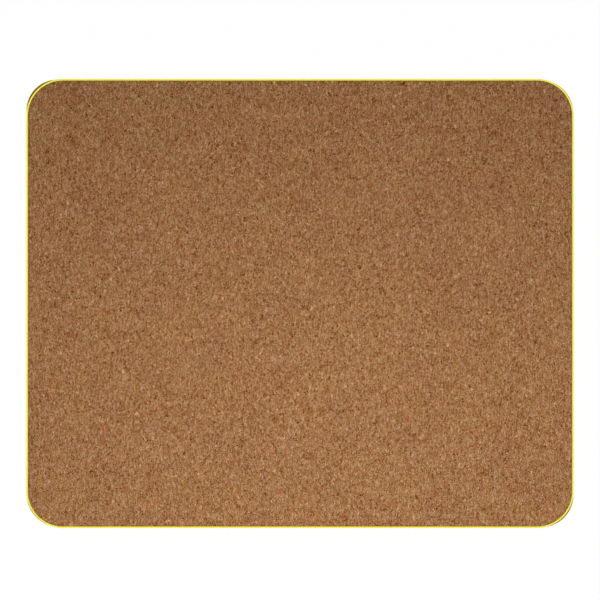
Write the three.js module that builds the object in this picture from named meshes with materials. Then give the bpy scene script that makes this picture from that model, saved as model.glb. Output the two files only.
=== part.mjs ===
// A cork-faced mouse pad: flat sheets bonded into one thin slab, with a narrow band round the edge.
// Millimetres, +Z up. The origin is the middle of the underside, where the pad meets the desk.
// +X runs along the long side, and +Y points away from the person at the desk.
import * as THREE from 'three';

// Outline of the pad, which is the outer face of the edge band
const PAD_WIDTH = 220;
const PAD_DEPTH = 180.5;
const PAD_CORNER_RADIUS = 14.8;

// Thickness of each sheet, from the desk up
const BASE_THICKNESS = 0.8;
const LOWER_GLUE_THICKNESS = 0.1;
const FOAM_THICKNESS = 1.8;
const UPPER_GLUE_THICKNESS = 0.1;
const CORK_THICKNESS = 1.2;

// Width of the edge band as seen from above, and the hairline gap between it and the sheets it holds
const BAND_WIDTH = 0.65;
const BAND_CLEARANCE = 0.05;

// How far each glue film stops short of the edge of the foam and the cork
const GLUE_SETBACK = 1.2;

// How far the base stops short of the band along the long sides, and how much tighter than the
// band's corner each of its corners is cut, so that a sliver of the base shows there
const BASE_SETBACK = 0.25;
const BASE_TIGHTER_FAR_RIGHT = 1.1;
const BASE_TIGHTER_FAR_LEFT = 2.5;
const BASE_TIGHTER_NEAR_LEFT = 1.2;
const BASE_TIGHTER_NEAR_RIGHT = 1.7;

// Fineness of the corners: an arc is drawn with two straight steps for each of these
const ARC_DIVISIONS = 12;
const QUARTER_TURN = Math.PI / 2;

// Colours and finishes
const baseRubber = new THREE.MeshStandardMaterial({ color: 0x82562c, roughness: 0.85, metalness: 0 });
const clearGlue = new THREE.MeshStandardMaterial({ color: 0xd8cba4, roughness: 0.45, metalness: 0 });
const greyFoam = new THREE.MeshStandardMaterial({ color: 0x47474a, roughness: 0.9, metalness: 0 });
const cork = new THREE.MeshStandardMaterial({ color: 0x996c47, roughness: 0.9, metalness: 0 });
const yellowVinyl = new THREE.MeshStandardMaterial({ color: 0xf5e628, roughness: 0.5, metalness: 0 });

// A corner follows its outline inwards, down to a square corner
function insetRadius(inset) {
  return Math.max(PAD_CORNER_RADIUS - inset, 0);
}

function evenCorners(radius) {
  return { farRight: radius, farLeft: radius, nearLeft: radius, nearRight: radius };
}

// Rectangle with a quarter circle at each corner, counter-clockwise from the right-hand side
function roundedRectangle(width, depth, corners) {
  const x = width / 2;
  const y = depth / 2;
  const { farRight, farLeft, nearLeft, nearRight } = corners;
  const outline = new THREE.Shape();
  outline.absarc(x - farRight, y - farRight, farRight, 0, QUARTER_TURN);
  outline.absarc(farLeft - x, y - farLeft, farLeft, QUARTER_TURN, 2 * QUARTER_TURN);
  outline.absarc(nearLeft - x, nearLeft - y, nearLeft, 2 * QUARTER_TURN, 3 * QUARTER_TURN);
  outline.absarc(x - nearRight, nearRight - y, nearRight, 3 * QUARTER_TURN, 4 * QUARTER_TURN);
  outline.closePath();
  return outline;
}

// The pad's outline moved inwards all round by the same distance
function insetOutline(inset) {
  const corners = evenCorners(insetRadius(inset));
  return roundedRectangle(PAD_WIDTH - 2 * inset, PAD_DEPTH - 2 * inset, corners);
}

// The base has the pad's width, a slightly smaller depth and tighter corners of its own
function baseOutline() {
  return roundedRectangle(PAD_WIDTH, PAD_DEPTH - 2 * BASE_SETBACK, {
    farRight: insetRadius(BASE_TIGHTER_FAR_RIGHT),
    farLeft: insetRadius(BASE_TIGHTER_FAR_LEFT),
    nearLeft: insetRadius(BASE_TIGHTER_NEAR_LEFT),
    nearRight: insetRadius(BASE_TIGHTER_NEAR_RIGHT),
  });
}

// The band is what is left between the pad's outline and the same outline moved in by its width
function bandOutline() {
  const outline = insetOutline(0);
  outline.holes.push(insetOutline(BAND_WIDTH));
  return outline;
}

const mousePad = new THREE.Group();

// Pulls an outline up into a solid that stands at a height, and returns the height of its top
function addSheet(name, outline, bottom, thickness, material) {
  const geometry = new THREE.ExtrudeGeometry(outline, {
    depth: thickness,
    bevelEnabled: false,
    curveSegments: ARC_DIVISIONS,
  });
  const sheet = new THREE.Mesh(geometry, material);
  sheet.name = name;
  sheet.position.z = bottom;
  mousePad.add(sheet);
  return bottom + thickness;
}

// Each sheet lies on the one below it, and the foam and the cork fit inside the band
const sheetInset = BAND_WIDTH + BAND_CLEARANCE;
const glueInset = sheetInset + GLUE_SETBACK;
const baseTop = addSheet('grip_base_sheet', baseOutline(), 0, BASE_THICKNESS, baseRubber);
const lowerGlueTop = addSheet(
  'lower_glue_film', insetOutline(glueInset), baseTop, LOWER_GLUE_THICKNESS, clearGlue,
);
const foamTop = addSheet(
  'foam_core_sheet', insetOutline(sheetInset), lowerGlueTop, FOAM_THICKNESS, greyFoam,
);
const upperGlueTop = addSheet(
  'upper_glue_film', insetOutline(glueInset), foamTop, UPPER_GLUE_THICKNESS, clearGlue,
);
const corkTop = addSheet(
  'cork_face_sheet', insetOutline(sheetInset), upperGlueTop, CORK_THICKNESS, cork,
);

// The band stands on the base and reaches up to the face of the cork
addSheet('yellow_edge_band', bandOutline(), baseTop, corkTop - baseTop, yellowVinyl);

export default mousePad;
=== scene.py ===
# %% [markdown]
# # A cork mouse pad
#
# The pad is a stack of thin sheets: a rubber base that grips the desk, a foam core and a cork face,
# held together by two films of glue. A narrow yellow band runs round the edge of the foam and the
# cork. The frame brings those pieces in at their true size and place. This lesson gives each one
# its surface: granules for the cork, a grip pattern for the rubber, and a finish for every piece.

# %% Load the frame
import math
import random

import bmesh
import bpy
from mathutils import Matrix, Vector
from mathutils.geometry import delaunay_2d_cdt


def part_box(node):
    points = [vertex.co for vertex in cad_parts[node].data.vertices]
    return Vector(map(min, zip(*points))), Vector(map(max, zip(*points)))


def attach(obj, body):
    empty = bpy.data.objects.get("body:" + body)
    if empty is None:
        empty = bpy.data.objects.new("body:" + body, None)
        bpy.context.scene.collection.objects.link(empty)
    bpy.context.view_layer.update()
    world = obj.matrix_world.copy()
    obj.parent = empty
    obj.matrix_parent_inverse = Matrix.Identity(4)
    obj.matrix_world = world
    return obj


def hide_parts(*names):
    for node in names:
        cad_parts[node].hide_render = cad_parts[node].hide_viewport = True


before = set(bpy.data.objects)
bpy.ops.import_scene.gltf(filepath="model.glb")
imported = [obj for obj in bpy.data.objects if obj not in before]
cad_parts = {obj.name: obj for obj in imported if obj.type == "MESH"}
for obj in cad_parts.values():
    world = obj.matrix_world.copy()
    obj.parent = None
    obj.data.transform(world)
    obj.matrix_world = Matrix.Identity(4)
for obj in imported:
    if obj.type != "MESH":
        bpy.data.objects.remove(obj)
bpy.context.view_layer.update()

MM = 0.001
print("frame:", ", ".join(sorted(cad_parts)))

# %% [markdown]
# ## Measures
#
# Everything is placed from the boxes of the frame's own nodes. The sizes could be typed in again
# here, but then the pieces might no longer fit the frame. A box can't tell how round a corner is or
# how wide the band is, so only those sizes are written out, in metres. The base is cut tighter than
# the band at each corner, by a different amount, so that a sliver of it shows there.

# %% Read the sizes of the sheets
cork_low, cork_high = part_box("cork_face_sheet")
foam_low, foam_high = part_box("foam_core_sheet")
base_low, base_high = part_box("grip_base_sheet")
band_low, band_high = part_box("yellow_edge_band")

PAD_CORNER_RADIUS = 14.8 * MM
BAND_WIDTH = 0.65 * MM
BASE_TIGHTER_FAR_RIGHT = 1.1 * MM
BASE_TIGHTER_FAR_LEFT = 2.5 * MM
BASE_TIGHTER_NEAR_LEFT = 1.2 * MM
BASE_TIGHTER_NEAR_RIGHT = 1.7 * MM

sheet_corner_radius = PAD_CORNER_RADIUS - (band_high.x - cork_high.x)
base_corner_radii = [
    PAD_CORNER_RADIUS - tighter
    for tighter in (
        BASE_TIGHTER_FAR_RIGHT,
        BASE_TIGHTER_FAR_LEFT,
        BASE_TIGHTER_NEAR_LEFT,
        BASE_TIGHTER_NEAR_RIGHT,
    )
]
pad_width = band_high.x - band_low.x
pad_depth = band_high.y - band_low.y
print(f"pad: {pad_width / MM:.1f} by {pad_depth / MM:.1f} by {band_high.z / MM:.1f} mm")

# %% [markdown]
# ## Outlines
#
# Every sheet has the same kind of outline: a rectangle with a quarter circle at each corner. A
# bevelled plane would have that shape too, but its points would crowd together at the corners. So
# one function walks round the outline and drops a point at an even spacing. A second one tells how
# deep inside such an outline a place lies, which is how the later steps keep clear of the edge.

# %% Walk round a rounded rectangle
QUARTER_TURN = math.pi / 2
CORNER_SIGNS = ((1, 1), (-1, 1), (-1, -1), (1, -1))


def corner_arc(half_x, half_y, corner, radius, spacing):
    """Points of one corner's quarter circle. Corners count counter-clockwise from far right."""
    side_x, side_y = CORNER_SIGNS[corner]
    middle = Vector((side_x * (half_x - radius), side_y * (half_y - radius)))
    steps = max(1, round(QUARTER_TURN * radius / spacing))
    turns = [QUARTER_TURN * (corner + step / steps) for step in range(steps + 1)]
    return [middle + radius * Vector((math.cos(turn), math.sin(turn))) for turn in turns]


def rounded_outline(half_x, half_y, radii, spacing):
    """Points round the whole outline, counter-clockwise, with one radius for each corner."""
    arcs = [corner_arc(half_x, half_y, i, radius, spacing) for i, radius in enumerate(radii)]
    points = []
    for arc, next_arc in zip(arcs, arcs[1:] + arcs[:1]):
        points += arc
        steps = max(1, round((next_arc[0] - arc[-1]).length / spacing))
        points += [arc[-1].lerp(next_arc[0], step / steps) for step in range(1, steps)]
    return points


cork_outline = rounded_outline(cork_high.x, cork_high.y, [sheet_corner_radius] * 4, 1 * MM)
print("outline of the cork, every millimetre:", len(cork_outline), "points")

# %% Tell how deep a place lies
def depth_inside(point, half_x, half_y, radius):
    """How far a point lies inside an outline with even corners. Outside, it is below zero."""
    past_x = abs(point.x) - (half_x - radius)
    past_y = abs(point.y) - (half_y - radius)
    beyond = math.hypot(max(past_x, 0), max(past_y, 0)) + min(max(past_x, past_y), 0)
    return radius - beyond


def cork_depth(point):
    return depth_inside(point, cork_high.x, cork_high.y, sheet_corner_radius)


print(f"the middle lies {cork_depth(Vector((0.0, 0.0))) / MM:.1f} mm from the cork's edge")

# %% [markdown]
# ## Sheets made of triangles
#
# The cork and the base both start as a closed sheet of triangles: a flat top, a flat bottom and a
# wall between them. Blender's Delaunay function joins any scatter of points into well-shaped
# triangles, so the pattern of the sheet is decided just by where the points are put.

# %% Fill an outline with triangles
INSIDE_ONLY = 1
MERGE_DISTANCE = 1e-6


def fill_flat(outline, inner):
    """Triangles over a flat outline and the points inside it, as indices into outline + inner."""
    points = [point / MM for point in outline + inner]
    border = [list(range(len(outline)))]
    found = delaunay_2d_cdt(points, [], border, INSIDE_ONLY, MERGE_DISTANCE)
    assert len(found[0]) == len(points)
    return found[2]


print("triangles over the cork's bare outline:", len(fill_flat(cork_outline, [])))

# %% Close a sheet with a wall
def empty_piece(name):
    piece = bpy.data.objects.new(name, bpy.data.meshes.new(name))
    bpy.context.scene.collection.objects.link(piece)
    return piece


def wall_faces(count, rows):
    """Triangles between rings of points that stand one above the other."""
    faces = []
    for row in range(rows - 1):
        for i in range(count):
            a = row * count + i
            b = row * count + (i + 1) % count
            c = b + count
            d = a + count
            faces += [(a, b, c), (a, c, d)] if (i + row) % 2 else [(a, b, d), (b, c, d)]
    return faces


def closed_sheet(name, outline, heights, top_inner, bottom_inner):
    """A closed mesh with one ring of outline points at each height, from the bottom up."""
    count = len(outline)
    vertices = [(x, y, height) for height in heights for x, y in outline]
    faces = wall_faces(count, len(heights))
    top_ring = len(vertices) - count
    vertices += [(x, y, heights[-1]) for x, y in top_inner]
    top_ids = range(top_ring, len(vertices))
    faces += [tuple(top_ids[i] for i in face) for face in fill_flat(outline, top_inner)]
    bottom_ids = [*range(count), *range(len(vertices), len(vertices) + len(bottom_inner))]
    vertices += [(x, y, heights[0]) for x, y in bottom_inner]
    bottom = fill_flat(outline, bottom_inner)
    faces += [tuple(bottom_ids[i] for i in reversed(face)) for face in bottom]
    piece = empty_piece(name)
    piece.data.from_pydata(vertices, [], faces)
    print(f"{name}, before its nodes: {len(vertices)} points, {len(faces)} triangles")
    return piece


print("triangles in a wall of two rings:", len(wall_faces(len(cork_outline), 2)))

# %% [markdown]
# ## Node helpers
#
# Materials and Geometry Nodes trees are both made of nodes. They could be laid out by hand in an
# editor, but a script can be read and run again. One small helper serves for both kinds of tree. It
# adds a node, sets its options, and fills each input with a value or a link. An input is named by
# its label, or by its number where a node has several with the same label. The names of nodes
# change between versions of Blender, so the version is printed.

# %% Add a node
def put(tree, kind, options=None, inputs=None):
    node = tree.nodes.new(kind)
    for name, value in (options or {}).items():
        setattr(node, name, value)
    for key, value in (inputs or {}).items():
        by_label = (socket for socket in node.inputs if socket.name == key and socket.enabled)
        socket = node.inputs[key] if isinstance(key, int) else next(by_label)
        if isinstance(value, bpy.types.NodeSocket):
            tree.links.new(value, socket)
        else:
            socket.default_value = value
    return node


def result(node):
    """The first output that is in use."""
    return next(socket for socket in node.outputs if socket.enabled)


def number_step(tree, operation, *values):
    """One step of arithmetic on numbers."""
    return result(put(tree, "ShaderNodeMath", {"operation": operation}, dict(enumerate(values))))


def times(tree, value, factor):
    return number_step(tree, "MULTIPLY", value, factor)


def plus(tree, value, more):
    return number_step(tree, "ADD", value, more)


def vector_step(tree, operation, inputs):
    """One step of arithmetic on places or directions."""
    return result(put(tree, "ShaderNodeVectorMath", {"operation": operation}, inputs))


print("nodes of Blender", bpy.app.version_string)

# %% [markdown]
# ## Starting a material
#
# Every finish here is a Principled shader, which serves for cork, plastic, rubber, foam and glue
# alike. Colours are written as a screen shows them, from 0 to 255, because that is how they are
# read off a picture, and turned into the light that they stand for. The patterns read the piece's
# own coordinates, so they stay in place on it from every side.

# %% Start a material
def shade(level):
    """One channel of a colour as a screen shows it, 0 to 255, as the light that it stands for."""
    part = level / 255
    return part / 12.92 if part <= 0.04045 else ((part + 0.055) / 1.055) ** 2.4


def colour(red, green, blue):
    return (shade(red), shade(green), shade(blue), 1.0)


def start_material(name, specular):
    """A material, its node tree, its shader and the place on the piece that its patterns read."""
    material = bpy.data.materials.new(name)
    material.use_nodes = True
    tree = material.node_tree
    shader = tree.nodes["Principled BSDF"]
    shader.inputs["Specular IOR Level"].default_value = specular
    place = put(tree, "ShaderNodeTexCoord").outputs["Object"]
    print("finish:", name)
    return material, tree, shader, place


print(f"half way to white on a screen is {shade(127.5):.2f} of full light")

# %% [markdown]
# A pattern gives a number from 0 to 1 at each place. A ramp turns that number into a colour, a range
# turns it into a roughness, and a Bump node tilts the light as if it were a height. One roughness
# all over would be simpler, but then the whole piece would shine alike, as if it were painted.

# %% Turn patterns into colours, roughness and bumps
NOISE_LOW = 0.3
NOISE_HIGH = 0.7


def noise(tree, place, size, detail=2.0, stretch=(1.0, 1.0, 1.0)):
    """Soft random grey from 0 to 1, with lumps of about this size in metres."""
    scale = [1 / (size * s) for s in stretch]
    scaled = put(tree, "ShaderNodeMapping", inputs={"Vector": place, "Scale": scale})
    lumps = {"Vector": result(scaled), "Scale": 1.0, "Detail": detail}
    return put(tree, "ShaderNodeTexNoise", inputs=lumps).outputs["Fac"]


def ramp(tree, value, stops):
    """Colours blended along a value, from a list of places and colours."""
    node = put(tree, "ShaderNodeValToRGB", inputs={"Fac": value})
    elements = node.color_ramp.elements
    while len(elements) < len(stops):
        elements.new(0.5)
    for element, (position, shown) in zip(elements, stops):
        element.position = position
        element.color = shown
    return node.outputs["Color"]


def noise_stops(first, second):
    """Two colours for a ramp over a noise, at levels that the noise seldom goes beyond."""
    return [(NOISE_LOW, first), (NOISE_HIGH, second)]


def mixed(tree, factor, first, second, blend="MIX"):
    options = {"data_type": "RGBA", "blend_type": blend}
    return result(put(tree, "ShaderNodeMix", options, {"Factor": factor, "A": first, "B": second}))


def spread(tree, value, low, high):
    """A pattern from 0 to 1 moved to between low and high."""
    ends = {"Value": value, "To Min": low, "To Max": high}
    return result(put(tree, "ShaderNodeMapRange", inputs=ends))


def add_roughness(tree, shader, value, low, high):
    tree.links.new(spread(tree, value, low, high), shader.inputs["Roughness"])


def add_bump(tree, shader, height, strength, depth):
    settings = {"Strength": strength, "Distance": depth, "Height": height}
    bump = put(tree, "ShaderNodeBump", inputs=settings)
    tree.links.new(bump.outputs["Normal"], shader.inputs["Normal"])


print("helpers for patterns: noise, ramp, noise_stops, mixed, spread, add_roughness and add_bump")

# %% [markdown]
# ## The cork's finish
#
# Pressed cork is made of small granules, each a slightly different brown. The granules will be real
# faces of the mesh, and each one carries two random numbers, its tone and its hue. Inside a granule
# are finer grains. Those are too small for the mesh, so the material makes them with a Voronoi
# texture, which fills space with cells and gives each cell a random colour. Patterns could be laid
# over each other as layers of paint, but then the last layer would hide the others. Here every
# pattern swings about its middle value, and the sum of all the swings picks the brown. The texture
# can also tell how far a place lies from the border of its cell, and that makes the creases where
# the grains meet.

# %% Make the grains
GRAIN_SIZE = (0.28 * MM, 0.44 * MM)
GRAIN_CONTRAST = 0.84


def in_cells(tree, place, size_x, size_y):
    """The place counted in cells of this size."""
    scale = (1 / size_x, 1 / size_y, 1 / size_x)
    return result(put(tree, "ShaderNodeMapping", inputs={"Vector": place, "Scale": scale}))


def random_cells(tree, place, size_x, size_y):
    """Cells of about this size, each with a random red, green and blue from 0 to 1."""
    spot = in_cells(tree, place, size_x, size_y)
    cells = put(tree, "ShaderNodeTexVoronoi", inputs={"Vector": spot, "Scale": 1.0})
    return put(tree, "ShaderNodeSeparateColor", inputs={"Color": cells.outputs["Color"]}).outputs


def swing(tree, value, amount, middle=0.5):
    """How far a pattern departs from its middle value, times an amount."""
    return number_step(tree, "MULTIPLY_ADD", value, amount, -middle * amount)


def grain_swing(tree, place):
    """Three random numbers added for each grain, so that most grains lie near the middle."""
    grain = random_cells(tree, place, *GRAIN_SIZE)
    three = plus(tree, plus(tree, grain["Red"], grain["Green"]), grain["Blue"])
    return swing(tree, three, GRAIN_CONTRAST / 3, middle=1.5)


print("a grain: {:.2f} by {:.2f} mm".format(*(size / MM for size in GRAIN_SIZE)))

# %% Crease the borders of the grains
CREASE_WIDTH = 0.22


def creases(tree, place):
    """1 on the line where two grains meet, falling to 0 inside each of them."""
    spot = in_cells(tree, place, *GRAIN_SIZE)
    lines = {"Vector": spot, "Scale": 1.0}
    cells = put(tree, "ShaderNodeTexVoronoi", {"feature": "DISTANCE_TO_EDGE"}, lines)
    distance = cells.outputs["Distance"]
    fall = {"Value": distance, "From Max": CREASE_WIDTH, "To Min": 1.0, "To Max": 0.0}
    return result(put(tree, "ShaderNodeMapRange", {"interpolation_type": "SMOOTHSTEP"}, fall))


print(f"a crease fades out within {CREASE_WIDTH:.0%} of a grain's size")

# %% [markdown]
# Here and there in the cork lies a fleck that is much darker, a bit of bark, or one that is paler.
# Flecks could be painted on one by one, but there are thousands of them. They are larger cells of
# the same kind, of which only a few are chosen. On their own the cells would have neat straight
# sides. So the place is pulled about at random before the cells are made, and the flecks come out
# as crooked chips.

# %% Scatter the flecks
FLECK_PULL = 1.2 * MM
FLECK_PULL_SIZE = 1.2 * MM
DARK_FLECK_SIZE = (0.42 * MM, 0.55 * MM)
DARK_FLECK_SHARE = 0.065
DARK_FLECK_DEPTH = 0.57
PALE_FLECK_SIZE = (0.8 * MM, 1.1 * MM)
PALE_FLECK_SHARE = 0.014
PALE_FLECK_LIFT = 0.3


def pulled(tree, place, size, amount):
    """The place moved at random by up to about half an amount, in lumps of about this size."""
    scaled = vector_step(tree, "SCALE", {0: place, "Scale": 1 / size})
    lumps = put(tree, "ShaderNodeTexNoise", inputs={"Vector": scaled, "Scale": 1.0, "Detail": 1.0})
    centred = vector_step(tree, "SUBTRACT", {0: lumps.outputs["Color"], 1: (0.5, 0.5, 0.5)})
    return vector_step(tree, "MULTIPLY_ADD", {0: centred, 1: (amount, amount, amount), 2: place})


def chosen_cells(tree, place, size, share):
    """A random number from 0 to 1 in a few of the cells of this size, and 0 in all the others."""
    cells = random_cells(tree, place, *size)
    return times(tree, number_step(tree, "LESS_THAN", cells["Red"], share), cells["Green"])


def fleck_swing(tree, place):
    """How far flecks move the brown: down in the dark ones, up in the pale ones."""
    crooked = pulled(tree, place, FLECK_PULL_SIZE, FLECK_PULL)
    dark = chosen_cells(tree, crooked, DARK_FLECK_SIZE, DARK_FLECK_SHARE)
    pale = chosen_cells(tree, crooked, PALE_FLECK_SIZE, PALE_FLECK_SHARE)
    return plus(tree, times(tree, dark, -DARK_FLECK_DEPTH), times(tree, pale, PALE_FLECK_LIFT))


print(f"flecks: {DARK_FLECK_SHARE:.1%} dark, {PALE_FLECK_SHARE:.1%} pale")

# %% [markdown]
# The scale of browns runs from dark to pale. It could be a mix of just two browns, but cork isn't
# the same hue all along it, so there are five. Besides the grains and the flecks, the tone of each
# granule moves the brown along the scale, and so do three noises: fibres, which are stretched along
# Y as the granules are, a wide mottle, and a fine dust inside the grains. The creases and the pits,
# where a granule has fallen out, are painted darker as shade. The grains start above the middle of
# the scale to make up for that.

# %% Lay out the scale of browns
GRAIN_LEVEL = 0.593
TONE_CONTRAST = 0.14
FIBRE_CONTRAST = 0.46
MOTTLE_CONTRAST = 0.12
DUST_SIZE = 0.1 * MM
DUST_CONTRAST = 0.35
CREASE_SHADE = 0.16
PIT_SHADE = 0.18
CORK_BROWNS = [
    (0.0, colour(87, 37, 0)),
    (0.25, colour(120, 71, 26)),
    (0.5, colour(152, 106, 65)),
    (0.75, colour(182, 141, 104)),
    (1.0, colour(213, 177, 143)),
]


def attribute(tree, name):
    """A number that each face of the piece carries."""
    return put(tree, "ShaderNodeAttribute", {"attribute_name": name}).outputs["Fac"]


def cork_level(tree, place, crease, fibre, mottle):
    """Where on the scale of browns each point lies, from 0 for the darkest to 1 for the palest."""
    level = plus(tree, grain_swing(tree, place), GRAIN_LEVEL)
    for move in (
        swing(tree, attribute(tree, "tone"), TONE_CONTRAST),
        swing(tree, fibre, FIBRE_CONTRAST),
        swing(tree, mottle, MOTTLE_CONTRAST),
        swing(tree, noise(tree, place, DUST_SIZE, detail=3.0), DUST_CONTRAST),
        # Painted shade: darker in the creases and in the pits.
        times(tree, crease, -CREASE_SHADE),
        times(tree, attribute(tree, "pit"), -PIT_SHADE),
        fleck_swing(tree, place),
    ):
        level = plus(tree, level, move)
    return level


print("browns on the scale:", len(CORK_BROWNS))

# %% [markdown]
# On one scale of browns alone, cork would look like a faded print. So the brown is tinted as well.
# Patches a few granules wide lean to red, each granule has a hue between olive and pink, and the
# mottle, the fibres and a fine cast make the brown more or less blue. A tint multiplies the brown,
# so it changes the colour and hardly the brightness. To the touch, the fibres stand out a little,
# and the creases lie lower than the grains and are rougher.

# %% Tint the cork
FIBRE_SIZE = 0.5 * MM
FIBRE_STRETCH = (1.4, 7.0, 1.0)
FIBRE_BLUES = (1.02, 0.98)
MOTTLE_SIZE = 12 * MM
MOTTLE_BLUES = (1.06, 0.92)
CAST_SIZE = 2.6 * MM
CAST_BLUES = (1.095, 0.905)
PATCH_SIZE = 3 * MM
PATCH_TINTS = noise_stops((0.97, 1.03, 1.01, 1.0), (1.03, 0.945, 0.96, 1.0))
HUE_TINTS = [(0.0, (1.0, 1.05, 1.0, 1.0)), (1.0, (1.0, 0.95, 1.0, 1.0))]
CORK_MATT = (0.88, 0.97)
CREASE_DEPTH = 0.5


def blue_tints(most, least):
    """Tints that only make a brown more or less blue."""
    return noise_stops((1.0, 1.0, most, 1.0), (1.0, 1.0, least, 1.0))


def cork_finish():
    material, tree, shader, place = start_material("cork", specular=0.12)
    crease = creases(tree, place)
    fibre = noise(tree, place, FIBRE_SIZE, stretch=FIBRE_STRETCH)
    mottle = noise(tree, place, MOTTLE_SIZE, detail=3.0)
    tinted = ramp(tree, cork_level(tree, place, crease, fibre, mottle), CORK_BROWNS)
    for value, stops in (
        (noise(tree, place, PATCH_SIZE), PATCH_TINTS),
        (mottle, blue_tints(*MOTTLE_BLUES)),
        (noise(tree, place, CAST_SIZE), blue_tints(*CAST_BLUES)),
        (fibre, blue_tints(*FIBRE_BLUES)),
        (attribute(tree, "hue"), HUE_TINTS),
    ):
        tinted = mixed(tree, 1.0, tinted, ramp(tree, value, stops), "MULTIPLY")
    tree.links.new(tinted, shader.inputs["Base Color"])
    add_roughness(tree, shader, crease, *CORK_MATT)
    relief = plus(tree, fibre, times(tree, crease, -CREASE_DEPTH))
    add_bump(tree, shader, relief, strength=0.5, depth=0.06 * MM)
    return material


cork = cork_finish()

# %% [markdown]
# ## The cork face
#
# A cork sheet could be a flat box with a picture of cork on it, but its granules would vanish at
# the edge and never catch the light. Here the granules are faces. The sheet starts as triangles
# between scattered points. A Dual Mesh node turns every point into a face and every triangle into
# a corner, which gives irregular cells that fill the sheet without a gap. The points are further
# apart along Y than along X, because the granules are a little longer that way.

# %% Lay the granules out in rows
GRANULE_X = 0.92 * MM
GRANULE_Y = 1.18 * MM
CORK_RIM = 0.25 * MM
RIM_CLEARANCE = CORK_RIM + 0.6 * GRANULE_X


def lattice(half_x, half_y, step_x, step_y, keep):
    """Points in staggered rows over a rectangle, as far as keep says yes."""
    points = []
    rows = math.ceil(half_y / step_y)
    columns = math.ceil(half_x / step_x)
    for row in range(-rows, rows + 1):
        for column in range(-columns, columns + 1):
            point = Vector(((column + 0.5 * (row % 2)) * step_x, row * step_y))
            if keep(point):
                points.append(point)
    return points


def clear_of_rim(point):
    return cork_depth(point) > RIM_CLEARANCE


granule_rows = lattice(cork_high.x, cork_high.y, GRANULE_X, GRANULE_Y, clear_of_rim)
print("granules in rows:", len(granule_rows))

# %% Scatter the granules
GRANULE_JITTER = 0.40
CORK_HIDDEN_STEP = 9 * MM
CORK_SEED = 7


def scattered(rows):
    """The points of the rows, each moved a little at random, but never onto the rim."""
    draws = random.Random(CORK_SEED)
    points = []
    for point in rows:
        move_x = draws.uniform(-GRANULE_JITTER, GRANULE_JITTER) * GRANULE_X
        move_y = draws.uniform(-GRANULE_JITTER, GRANULE_JITTER) * GRANULE_Y
        moved = point + Vector((move_x, move_y))
        points.append(moved if clear_of_rim(moved) else point)
    return points


def cork_ring(inset):
    """The cork's outline moved inwards, with a point for about every granule."""
    radii = [sheet_corner_radius - inset] * 4
    return rounded_outline(cork_high.x - inset, cork_high.y - inset, radii, GRANULE_X)


def well_inside(point):
    return cork_depth(point) > CORK_HIDDEN_STEP / 2


cork_heights = [
    cork_low.z,
    cork_low.z + CORK_RIM,
    (cork_low.z + cork_high.z) / 2,
    cork_high.z - CORK_RIM,
    cork_high.z,
]
cork_face = closed_sheet(
    "cork_face",
    cork_ring(0),
    cork_heights,
    cork_ring(CORK_RIM) + scattered(granule_rows),
    lattice(cork_high.x, cork_high.y, CORK_HIDDEN_STEP, CORK_HIDDEN_STEP, well_inside),
)

# %% [markdown]
# ## Trees that shape a mesh
#
# A Geometry Nodes tree takes a mesh and some named settings, and gives back a changed mesh. The
# same changes could be written as loops over faces, but Blender's nodes are faster and shorter. A
# modifier runs the tree on a piece. What it makes is kept as a plain mesh and the modifier is
# removed, so that nothing is left to run.

# %% Build and run a tree
def start_tree(name, settings):
    """A tree with a mesh input, an input for each setting and a mesh output."""
    tree = bpy.data.node_groups.new(name, "GeometryNodeTree")
    for label, kind in {"Mesh": "NodeSocketGeometry", **settings}.items():
        tree.interface.new_socket(label, in_out="INPUT", socket_type=kind)
    tree.interface.new_socket("Mesh", in_out="OUTPUT", socket_type="NodeSocketGeometry")
    return tree, tree.nodes.new("NodeGroupInput").outputs


def end_tree(tree, mesh, smooth, material):
    """Shades and realizes the result, gives it its material and sends it to the output."""
    shading = {"Geometry": mesh, "Shade Smooth": smooth}
    shaded = put(tree, "GeometryNodeSetShadeSmooth", inputs=shading)
    solid = put(tree, "GeometryNodeRealizeInstances", inputs={"Geometry": result(shaded)})
    paint = {"Geometry": result(solid), "Material": material}
    painted = put(tree, "GeometryNodeSetMaterial", inputs=paint)
    tree.links.new(result(painted), tree.nodes.new("NodeGroupOutput").inputs[0])


def run_tree(piece, tree, values):
    """Runs a tree on a piece and keeps what it makes as a plain mesh."""
    modifier = piece.modifiers.new(tree.name, "NODES")
    modifier.node_group = tree
    for item in tree.interface.items_tree:
        if item.in_out == "INPUT" and item.name in values:
            modifier[item.identifier] = values[item.name]
    depsgraph = bpy.context.evaluated_depsgraph_get()
    made = bpy.data.meshes.new_from_object(
        piece.evaluated_get(depsgraph), preserve_all_data_layers=True, depsgraph=depsgraph
    )
    piece.modifiers.remove(modifier)
    blank = piece.data
    piece.data = made
    bpy.data.meshes.remove(blank)
    made.name = piece.name
    made.calc_loop_triangles()
    print(f"{piece.name}: {len(made.polygons)} faces, {len(made.loop_triangles)} triangles")


print("helpers for trees: start_tree, end_tree and run_tree")

# %% [markdown]
# The granules don't lie quite flush. Each of their corners is sunk by a random part of a small
# relief, so that the face catches the light. Where a granule has fallen out, there is a pit. A
# texture could fake both, but their shadows would be missing in a close view. So a few faces are
# pushed in one by one, and the floors of those pits are made narrower than their mouths. Each face
# keeps its tone, its hue and whether it is a pit, for the finish to read.

# %% Take steps on faces
def dice(tree, seed, turn):
    """A random number from 0 to 1 for each face or corner. Each turn gives new ones."""
    return result(put(tree, "FunctionNodeRandomValue", inputs={"Seed": plus(tree, seed, turn)}))


def stored(tree, mesh, name, value):
    """The mesh with a number on each face that its finish can read."""
    kind = {"data_type": "FLOAT", "domain": "FACE"}
    fields = {"Geometry": mesh, "Name": name, "Value": value}
    return result(put(tree, "GeometryNodeStoreNamedAttribute", kind, fields))


def compared(tree, value, operation, limit):
    kind = {"data_type": "FLOAT", "operation": operation}
    return result(put(tree, "FunctionNodeCompare", kind, {0: value, 1: limit}))


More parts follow.
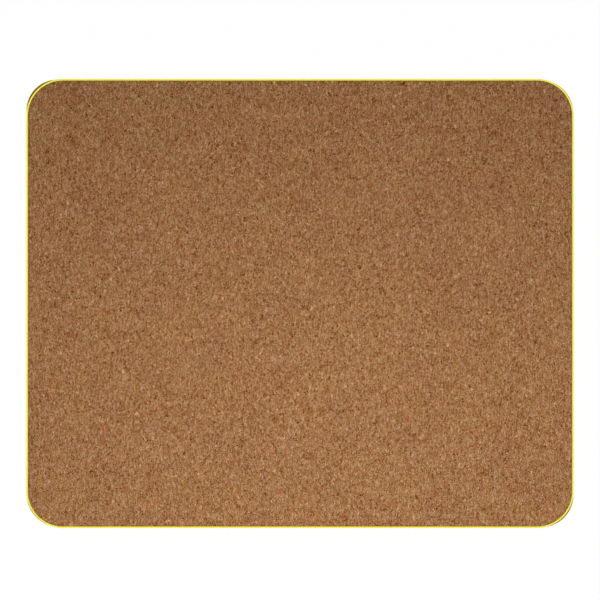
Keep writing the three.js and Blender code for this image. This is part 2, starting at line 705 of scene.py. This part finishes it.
def logic_step(tree, operation, first, second):
    kind = {"operation": operation}
    return result(put(tree, "FunctionNodeBooleanMath", kind, {0: first, 1: second}))


def pushed(tree, mesh, chosen, each, offset):
    """Moves the chosen faces, with walls round each one or round all of them together."""
    fields = {"Mesh": mesh, "Selection": chosen, "Individual": each, **offset}
    return put(tree, "GeometryNodeExtrudeMesh", {"mode": "FACES"}, fields).outputs


def narrowed(tree, mesh, chosen, share):
    fields = {"Geometry": mesh, "Selection": chosen, "Scale": share}
    return result(put(tree, "GeometryNodeScaleElements", {"domain": "FACE"}, fields))


print("helpers for faces: dice, stored, compared, logic_step, pushed and narrowed")

# %% Sink the granules and open the pits
GRANULE_RELIEF = 0.05 * MM
PIT_SHARE = 0.006
PIT_DEPTH = 0.18 * MM
PIT_FLOOR = 0.6
FACE_TOLERANCE = 0.2 * MM
TONE_TURN = 1
RELIEF_TURN = 2
PIT_TURN = 3
HUE_TURN = 4


def sunk_granules(tree, cells, distance):
    """Moves each corner inwards."""
    normal = result(put(tree, "GeometryNodeInputNormal"))
    inwards = vector_step(tree, "SCALE", {0: normal, "Scale": times(tree, distance, -1.0)})
    fields = {"Geometry": cells, "Offset": inwards}
    return result(put(tree, "GeometryNodeSetPosition", inputs=fields))


def granule_tree(settings):
    numbers = {label: "NodeSocketFloat" for label in settings}
    kinds = {"Seed": "NodeSocketInt", **numbers, "Finish": "NodeSocketMaterial"}
    tree, given = start_tree("Cork granules", kinds)
    seed = given["Seed"]
    cells = result(put(tree, "GeometryNodeDualMesh", inputs={"Mesh": given["Mesh"]}))
    cells = stored(tree, cells, "tone", dice(tree, seed, TONE_TURN))
    cells = stored(tree, cells, "hue", dice(tree, seed, HUE_TURN))
    cells = sunk_granules(tree, cells, times(tree, dice(tree, seed, RELIEF_TURN), given["Relief"]))
    place = result(put(tree, "GeometryNodeInputPosition"))
    height = put(tree, "ShaderNodeSeparateXYZ", inputs={0: place}).outputs["Z"]
    on_face = compared(tree, height, "GREATER_THAN", given["Face height"])
    fallen = compared(tree, dice(tree, seed, PIT_TURN), "LESS_THAN", given["Pit share"])
    chosen = logic_step(tree, "AND", on_face, fallen)
    inwards = {"Offset Scale": times(tree, given["Pit depth"], -1.0)}
    pits = pushed(tree, cells, chosen, True, inwards)
    shaped = narrowed(tree, pits["Mesh"], pits["Top"], given["Pit floor"])
    is_pit = logic_step(tree, "OR", pits["Top"], pits["Side"])
    end_tree(tree, stored(tree, shaped, "pit", is_pit), True, given["Finish"])
    return tree


granule_sizes = {
    "Relief": GRANULE_RELIEF,
    "Pit share": PIT_SHARE,
    "Pit depth": PIT_DEPTH,
    "Pit floor": PIT_FLOOR,
    "Face height": cork_high.z - FACE_TOLERANCE,
}
run_tree(
    cork_face,
    granule_tree(granule_sizes),
    {"Seed": CORK_SEED, **granule_sizes, "Finish": cork},
)

# %% [markdown]
# ## The yellow edge band
#
# The band is a thin strip of flexible plastic that goes once round the pad. Its finish is a clear
# yellow, satin rather than shiny. A perfectly even colour would look like paint, so two faint
# noises vary it: a wide cloud, and a fine grain that also roughens the surface a little.

# %% Make the band's plastic
BAND_CLOUD = 9 * MM
BAND_GRAIN = 0.6 * MM
BAND_CLOUD_SHARE = 0.5
BAND_YELLOWS = noise_stops(colour(242, 230, 36), colour(251, 241, 50))
BAND_SATIN = (0.42, 0.58)


def weighed(tree, first, second, share):
    """Two patterns added, with this share for the first."""
    return plus(tree, times(tree, first, share), times(tree, second, 1 - share))


def band_finish():
    material, tree, shader, place = start_material("yellow_vinyl", specular=0.3)
    grain = noise(tree, place, BAND_GRAIN, detail=3.0)
    cloudy = weighed(tree, noise(tree, place, BAND_CLOUD), grain, BAND_CLOUD_SHARE)
    tree.links.new(ramp(tree, cloudy, BAND_YELLOWS), shader.inputs["Base Color"])
    add_roughness(tree, shader, grain, *BAND_SATIN)
    add_bump(tree, shader, grain, strength=0.15, depth=0.02 * MM)
    return material


yellow_vinyl = band_finish()

# %% [markdown]
# The band could be cut out of a thick sheet, as a frame with a hole. But its section is the same
# everywhere, so it is a profile swept along a path, which also rounds its edges: the Curve to Mesh
# node does exactly that. Both the path and the profile are rectangles with filleted corners. The
# path runs along the middle of the band's width, so it is a little smaller than the pad.

# %% Sweep the band round the pad
BAND_ROUNDING = 0.08 * MM
CORNER_STEPS = 32
ROUNDING_STEPS = 4


def filleted(tree, width, depth, radius, steps):
    """A rectangle with rounded corners, as a curve."""
    size = {"Width": width, "Height": depth}
    square = put(tree, "GeometryNodeCurvePrimitiveQuadrilateral", inputs=size)
    corners = {"Curve": result(square), "Radius": radius, "Count": steps}
    return result(put(tree, "GeometryNodeFilletCurve", {"mode": "POLY"}, corners))


def band_tree(settings):
    numbers = {label: "NodeSocketFloat" for label in settings}
    tree, given = start_tree("Edge band", {**numbers, "Finish": "NodeSocketMaterial"})
    path = filleted(
        tree, given["Path width"], given["Path depth"], given["Path radius"], CORNER_STEPS
    )
    upright = put(tree, "GeometryNodeSetCurveNormal", {"mode": "Z_UP"}, {"Curve": path})
    profile = filleted(
        tree, given["Band width"], given["Band height"], given["Rounding"], ROUNDING_STEPS
    )
    curves = {"Curve": result(upright), "Profile Curve": profile}
    swept = put(tree, "GeometryNodeCurveToMesh", inputs=curves)
    lift = put(tree, "ShaderNodeCombineXYZ", inputs={"Z": given["Band middle"]})
    moves = {"Geometry": result(swept), "Translation": result(lift)}
    placed = put(tree, "GeometryNodeTransform", inputs=moves)
    end_tree(tree, result(placed), True, given["Finish"])
    return tree


band_sizes = {
    "Path width": pad_width - BAND_WIDTH,
    "Path depth": pad_depth - BAND_WIDTH,
    "Path radius": PAD_CORNER_RADIUS - BAND_WIDTH / 2,
    "Band width": BAND_WIDTH,
    "Band height": band_high.z - band_low.z,
    "Band middle": (band_low.z + band_high.z) / 2,
    "Rounding": BAND_ROUNDING,
}
edge_band = empty_piece("edge_band")
run_tree(edge_band, band_tree(band_sizes), {**band_sizes, "Finish": yellow_vinyl})
band_made = [vertex.co for vertex in edge_band.data.vertices]
print("band, lowest:", [round(min(v[axis] for v in band_made) / MM, 3) for axis in range(3)])
print("band, highest:", [round(max(v[axis] for v in band_made) / MM, 3) for axis in range(3)])

# %% [markdown]
# ## The grip base
#
# The rubber base shows from above only as a brown sliver at the corners, but its underside is as
# large as the pad. Its rubber is brown and matt, with a fine dust in its grain. The pads of its grip
# pattern are painted paler than the grooves between them. This is partly wear where the desk rubs
# them, and partly painted shade that keeps the grooves darker. Those places could be painted by
# hand,
# but the finish finds them by itself: it reads how high above the desk each point lies.

# %% Make the base's rubber
GROOVE_DEPTH = 0.2 * MM
RUBBER_CLOUD = 6 * MM
RUBBER_DUST = 0.4 * MM
RUBBER_CLOUD_SHARE = 0.6
RUBBER_BROWNS = noise_stops(colour(126, 84, 32), colour(146, 98, 42))
WEAR_AND_SHADE_BROWN = colour(164, 119, 70)
WEAR_AND_SHADE_SHARE = 0.6
RUBBER_MATT = (0.7, 0.9)


def rubber_finish():
    material, tree, shader, place = start_material("base_rubber", specular=0.3)
    cloud = noise(tree, place, RUBBER_CLOUD, detail=3.0)
    dust = noise(tree, place, RUBBER_DUST, detail=3.0)
    brown = ramp(tree, weighed(tree, cloud, dust, RUBBER_CLOUD_SHARE), RUBBER_BROWNS)
    height = put(tree, "ShaderNodeSeparateXYZ", inputs={0: place}).outputs["Z"]
    # Paler towards the desk: wear on the pads, plus painted shade that keeps the grooves darker.
    wear_and_shade = {"Value": height, "From Max": GROOVE_DEPTH, "To Min": WEAR_AND_SHADE_SHARE, "To Max": 0.0}
    wear_and_shade_mix = result(put(tree, "ShaderNodeMapRange", inputs=wear_and_shade))
    tree.links.new(mixed(tree, wear_and_shade_mix, brown, WEAR_AND_SHADE_BROWN), shader.inputs["Base Color"])
    add_roughness(tree, shader, dust, *RUBBER_MATT)
    add_bump(tree, shader, dust, strength=0.25, depth=0.03 * MM)
    return material


base_rubber = rubber_finish()

# %% [markdown]
# The underside is moulded with small six-sided pads and grooves between them. Each pad could be a
# block set on a plain sheet, but moulded rubber is all in one. The same Dual Mesh step that made
# the granules makes the pads too: when the points stand in a regular staggered lattice, every cell
# comes out as a hexagon. All the hexagons are pushed in together, as one shallow recess, and then
# each one is pulled back out a little narrower.

# %% Lay out the hexagons
HEXAGON = 3.0 * MM
BASE_OUTLINE_STEP = 1.5 * MM
BASE_RIM = 0.12 * MM
BASE_HIDDEN_STEP = 9 * MM


def base_depth(point):
    return depth_inside(point, base_high.x, base_high.y, PAD_CORNER_RADIUS)


def base_ring(inset):
    """The base's outline moved inwards, with its four different corners."""
    radii = [radius - inset for radius in base_corner_radii]
    return rounded_outline(base_high.x - inset, base_high.y - inset, radii, BASE_OUTLINE_STEP)


def base_points(step_x, step_y, clearance):
    """Rows of points over the base that keep clear of its edge."""

    def keep(point):
        return base_depth(point) > clearance

    return lattice(base_high.x, base_high.y, step_x, step_y, keep)


hexagons = base_points(HEXAGON, HEXAGON * math.sqrt(3) / 2, HEXAGON / 2)
hidden = base_points(BASE_HIDDEN_STEP, BASE_HIDDEN_STEP, BASE_HIDDEN_STEP / 2)
base_heights = [base_low.z, base_low.z + BASE_RIM, base_high.z - BASE_RIM, base_high.z]
base_rim = base_ring(BASE_RIM)
grip_base = closed_sheet(
    "grip_base", base_ring(0), base_heights, base_rim + hidden, base_rim + hexagons
)

# %% Sink the recess and raise the pads
GRIP_MARGIN = 3.0 * MM
PAD_SHARE = 0.72


def mark_pads(mesh):
    """Marks the points of the underside that become pads, whose corners keep clear of the margin."""
    corner_reach = HEXAGON / math.sqrt(3)
    pad = mesh.attributes.new("pad", "FLOAT", "POINT")
    for vertex in mesh.vertices:
        low = vertex.co.z < base_high.z / 2
        inside = base_depth(vertex.co) > GRIP_MARGIN + corner_reach
        pad.data[vertex.index].value = float(low and inside)


def grip_tree(settings):
    numbers = {label: "NodeSocketFloat" for label in settings}
    tree, given = start_tree("Grip pattern", {**numbers, "Finish": "NodeSocketMaterial"})
    cells = result(put(tree, "GeometryNodeDualMesh", inputs={"Mesh": given["Mesh"]}))
    pad = put(tree, "GeometryNodeInputNamedAttribute", {"data_type": "FLOAT"}, {"Name": "pad"})
    is_pad = compared(tree, result(pad), "GREATER_THAN", 0.5)

    def upwards(distance):
        direction = put(tree, "ShaderNodeCombineXYZ", inputs={"Z": distance})
        return {"Offset": result(direction), "Offset Scale": 1.0}

    sunk = pushed(tree, cells, is_pad, False, upwards(given["Groove depth"]))
    back = upwards(times(tree, given["Groove depth"], -1.0))
    raised = pushed(tree, sunk["Mesh"], sunk["Top"], True, back)
    shaped = narrowed(tree, raised["Mesh"], raised["Top"], given["Pad share"])
    end_tree(tree, shaped, False, given["Finish"])
    return tree


mark_pads(grip_base.data)
grip_sizes = {"Groove depth": GROOVE_DEPTH, "Pad share": PAD_SHARE}
run_tree(grip_base, grip_tree(grip_sizes), {**grip_sizes, "Finish": base_rubber})

# %% [markdown]
# ## The foam core
#
# The foam is shut in by the cork, the band and the base, so no one sees it, but it is still a real
# piece of the pad. It is one plain sheet with edges that the cutting die has rounded slightly. It
# needs no pattern of faces, so a bevelled slab is enough, and a Voronoi texture gives the foam its
# cells.

# %% Make the foam's finish
FOAM_CELL = 0.35 * MM
FOAM_GREYS = [(0.0, colour(58, 58, 61)), (0.8, colour(82, 82, 86))]
FOAM_MATT = (0.82, 0.96)


def foam_finish():
    material, tree, shader, place = start_material("core_foam", specular=0.2)
    bubbles = {"Vector": place, "Scale": 1 / FOAM_CELL}
    cells = put(tree, "ShaderNodeTexVoronoi", inputs=bubbles).outputs["Distance"]
    tree.links.new(ramp(tree, cells, FOAM_GREYS), shader.inputs["Base Color"])
    add_roughness(tree, shader, cells, *FOAM_MATT)
    add_bump(tree, shader, cells, strength=0.4, depth=0.05 * MM)
    return material


core_foam = foam_finish()

# %% Cut the foam sheet
FOAM_ROUNDING = 0.2 * MM
FOAM_OUTLINE_STEP = 2 * MM


def round_rims(mesh, rounding):
    """Bevels the edges round the top and round the bottom."""
    shape = bmesh.new()
    shape.from_mesh(mesh)
    rims = [edge for edge in shape.edges if len({v.co.z for v in edge.verts}) == 1]
    bmesh.ops.bevel(shape, geom=rims, offset=rounding, segments=3, affect="EDGES", profile=0.5)
    shape.to_mesh(mesh)
    shape.free()


def foam_sheet():
    radii = [sheet_corner_radius] * 4
    outline = rounded_outline(foam_high.x, foam_high.y, radii, FOAM_OUTLINE_STEP)
    count = len(outline)
    vertices = [(x, y, height) for height in (foam_low.z, foam_high.z) for x, y in outline]
    walls = [(i, (i + 1) % count, count + (i + 1) % count, count + i) for i in range(count)]
    faces = [tuple(reversed(range(count))), tuple(range(count, 2 * count)), *walls]
    piece = empty_piece("foam_core")
    piece.data.from_pydata(vertices, [], faces)
    round_rims(piece.data, FOAM_ROUNDING)
    piece.data.materials.append(core_foam)
    return piece


foam_core = foam_sheet()
print(f"{foam_core.name}: {len(foam_core.data.polygons)} faces")

# %% [markdown]
# ## The glue films
#
# The two films of glue could be modelled again, but they stay the frame's own solids, because their
# shape is already right. They only need a finish: pale, slightly glossy, and a little uneven, as
# melted glue is.

# %% Give the glue its finish
GLUE_CLOUD = 5 * MM
GLUE_PALES = noise_stops(colour(206, 192, 150), colour(226, 215, 178))
GLUE_GLOSS = (0.3, 0.5)


def glue_finish():
    material, tree, shader, place = start_material("glue_film", specular=0.5)
    cloud = noise(tree, place, GLUE_CLOUD)
    tree.links.new(ramp(tree, cloud, GLUE_PALES), shader.inputs["Base Color"])
    add_roughness(tree, shader, cloud, *GLUE_GLOSS)
    add_bump(tree, shader, cloud, strength=0.2, depth=0.03 * MM)
    return material


glue_film = glue_finish()
for node in ("lower_glue_film", "upper_glue_film"):
    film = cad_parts[node]
    film.data.materials.clear()
    film.data.materials.append(glue_film)
    print("finished:", node)

# %% [markdown]
# ## Maps for baking
#
# Other programs can't run these nodes. For them the finishes can be baked, which means painted into
# an image, and a UV map says which part of the image each face takes. Blender can lay out such a
# map by itself, but it gives a hidden side as many pixels as the side that shows. Here the side
# that shows takes most of the image. The hidden side is squeezed into a strip below it, and the
# wall is unrolled into a thin strip below that.

# %% Find places on the image
MAP_GAP = 0.004
WHOLE_PART = (0.0, 1.0)
SEEN_PART = (0.18, 1.0)
HIDDEN_PART = (0.03, 0.18)
WALL_PART = (0.0, 0.03)
FULL_TURN = 4 * QUARTER_TURN
SEAM_OVERLAP = 0.05


def fitted(value, low, high, part):
    """Moves a value from between low and high into a part of the image, with a gap at both ends."""
    start = part[0] + MAP_GAP
    end = part[1] - MAP_GAP
    return start + (value - low) / (high - low) * (end - start)


def wall_places(corners, low, high):
    """The wall's face unrolled: along the image by its turn round the pad, and up by its height."""
    turns = [math.atan2(corner.y, corner.x) for corner in corners]
    if max(turns) - min(turns) > FULL_TURN / 2:
        turns = [turn % FULL_TURN for turn in turns]
    last = FULL_TURN / 2 + SEAM_OVERLAP
    along = [fitted(turn, -FULL_TURN / 2, last, WHOLE_PART) for turn in turns]
    return zip(along, [fitted(corner.z, low.z, high.z, WALL_PART) for corner in corners])


def flat_places(corners, low, high, side, part):
    """A face of the top or the underside, seen square on. The underside is turned over."""
    along = [fitted(side * corner.x, low.x, high.x, WHOLE_PART) for corner in corners]
    return zip(along, [fitted(corner.y, low.y, high.y, part) for corner in corners])


print(f"the side that shows takes {SEEN_PART[1] - SEEN_PART[0]:.0%} of the image")

# %% Lay out the cork and the base
WALL_TILT = 0.3


def lay_out(piece, low, high, seen):
    """Gives a sheet its map. The side that shows is 1 for the top and -1 for the underside."""
    mesh = piece.data
    places = mesh.uv_layers.new(name="OFBake").uv
    for face in mesh.polygons:
        corners = [mesh.vertices[i].co for i in face.vertices]
        side = math.copysign(1, face.normal.z)
        part = SEEN_PART if side == seen else HIDDEN_PART
        if abs(face.normal.z) < WALL_TILT:
            spots = wall_places(corners, low, high)
        else:
            spots = flat_places(corners, low, high, side, part)
        for loop, spot in zip(face.loop_indices, spots):
            places[loop].vector = spot
    print(f"{piece.name}: map for {len(mesh.polygons)} faces")


lay_out(cork_face, cork_low, cork_high, seen=1)
lay_out(grip_base, base_low, base_high, seen=-1)

# %% [markdown]
# ## Tie the pieces to the frame
#
# The pad has no moving parts, so every piece rides on the one body. Each says which solid it
# stands for, and that solid is hidden.

# %% Ride and replace the solids
for piece, node, finish in (
    (cork_face, "cork_face_sheet", "cork"),
    (edge_band, "yellow_edge_band", "yellow_vinyl"),
    (grip_base, "grip_base_sheet", "base_rubber"),
    (foam_core, "foam_core_sheet", "core_foam"),
):
    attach(piece, "root")
    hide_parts(node)
    print(f"{piece.name} stands for {node}")

# %% [markdown]
# ## The studio
#
# The pad lies on a white floor, with even light from all round. The floor shows as white to the
# camera and still takes a faint shadow. Two soft lamps hang above. The high one lights the band,
# the base and the floor evenly. The cork has a lamp of its own, low over its front half, so that
# its front is a little brighter than its back. Light linking sets which lamp lights which piece.

# %% Make the floor
FLOOR_SIZE = 6.0
FLOOR_GLOW = 0.95
FLOOR_PAINT = (0.95, 0.95, 0.95, 1.0)
WHITE = (1.0, 1.0, 1.0, 1.0)


def background_rays(tree):
    """1 for rays from the camera, or seen in a reflection or through glass, and 0 for others."""
    path = put(tree, "ShaderNodeLightPath")
    shown = path.outputs["Is Camera Ray"]
    for kind in ("Is Glossy Ray", "Is Transmission Ray"):
        shown = number_step(tree, "MAXIMUM", shown, path.outputs[kind])
    return shown


def floor_finish():
    material = bpy.data.materials.new("white_floor")
    material.use_nodes = True
    tree = material.node_tree
    tree.nodes.remove(tree.nodes["Principled BSDF"])
    paint = put(tree, "ShaderNodeBsdfDiffuse", inputs={"Color": FLOOR_PAINT})
    glow = put(tree, "ShaderNodeEmission", inputs={"Color": WHITE, "Strength": 1.0})
    share = times(tree, background_rays(tree), FLOOR_GLOW)
    both = put(tree, "ShaderNodeMixShader", inputs={0: share, 1: result(paint), 2: result(glow)})
    tree.links.new(result(both), tree.nodes["Material Output"].inputs["Surface"])
    return material


half_floor = FLOOR_SIZE / 2
floor = empty_piece("floor")
floor_corners = [(side_x * half_floor, side_y * half_floor, 0.0) for side_x, side_y in CORNER_SIGNS]
floor.data.from_pydata(floor_corners, [], [(0, 1, 2, 3)])
floor.data.materials.append(floor_finish())
print(f"floor: {FLOOR_SIZE:.0f} m square")

# %% Light the room
WORLD_LIGHT = 0.45


def light_world():
    world = bpy.data.worlds.new("studio")
    bpy.context.scene.world = world
    world.use_nodes = True
    tree = world.node_tree
    light = tree.nodes["Background"]
    light.inputs["Color"].default_value = WHITE
    level = spread(tree, background_rays(tree), WORLD_LIGHT, 1.0)
    tree.links.new(level, light.inputs["Strength"])


light_world()
print("light from all round:", WORLD_LIGHT)

# %% Hang the lamps
CORK_LAMP_PLACE = Vector((0.012, -0.08, 0.22))
CORK_LAMP_WIDTH = 0.35
CORK_LAMP_DEPTH = 0.2
CORK_LAMP_POWER = 0.5
HIGH_LAMP_PLACE = Vector((0.0, -0.15, 1.2))
HIGH_LAMP_WIDTH = 0.8
HIGH_LAMP_DEPTH = 0.8
HIGH_LAMP_POWER = 8.5


def hang_lamp(name, place, width, depth, power):
    """A soft lamp that shines straight down and that the camera doesn't see."""
    data = bpy.data.lights.new(name, "AREA")
    data.shape = "RECTANGLE"
    data.size = width
    data.size_y = depth
    data.energy = power
    lamp = bpy.data.objects.new(name, data)
    lamp.location = place
    lamp.visible_camera = False
    bpy.context.scene.collection.objects.link(lamp)
    return lamp


def link_light(lamp, piece, state):
    """INCLUDE makes the lamp light only this piece, and EXCLUDE everything but this piece."""
    linked = bpy.data.collections.new(f"{lamp.name}_linked")
    linked.objects.link(piece)
    linked.collection_objects[0].light_linking.link_state = state
    lamp.light_linking.receiver_collection = linked


cork_lamp = hang_lamp(
    "cork_lamp", CORK_LAMP_PLACE, CORK_LAMP_WIDTH, CORK_LAMP_DEPTH, CORK_LAMP_POWER
)
link_light(cork_lamp, cork_face, "INCLUDE")
high_lamp = hang_lamp(
    "high_lamp", HIGH_LAMP_PLACE, HIGH_LAMP_WIDTH, HIGH_LAMP_DEPTH, HIGH_LAMP_POWER
)
link_light(high_lamp, cork_face, "EXCLUDE")
print("lamps:", cork_lamp.name, "and", high_lamp.name)

# %% [markdown]
# ## The camera
#
# The photograph was taken from straight above. A camera without perspective would come close, but
# a real one has a lens. A long lens from further away shows the pad with hardly any perspective,
# so that its sides don't show past its top.

# %% Place the camera
PHOTO_SIZE = 600
PHOTO_PAD_WIDTH = 547.5
PHOTO_PAD_CENTRE_Y = 303.5
LENS = 600.0
SENSOR = 36.0

frame_width = pad_width * PHOTO_SIZE / PHOTO_PAD_WIDTH
camera_data = bpy.data.cameras.new("camera")
camera_data.lens = LENS
camera_data.sensor_width = SENSOR
camera = bpy.data.objects.new("camera", camera_data)
camera_height = band_high.z + frame_width * LENS / SENSOR
shift_y = (PHOTO_PAD_CENTRE_Y - PHOTO_SIZE / 2) * frame_width / PHOTO_SIZE
camera.location = (0.0, shift_y, camera_height)
bpy.context.scene.collection.objects.link(camera)
bpy.context.scene.camera = camera
bpy.context.scene.view_settings.view_transform = "Standard"
print(f"camera: {camera_height:.2f} m up, aimed {shift_y / MM:.2f} mm behind the middle")
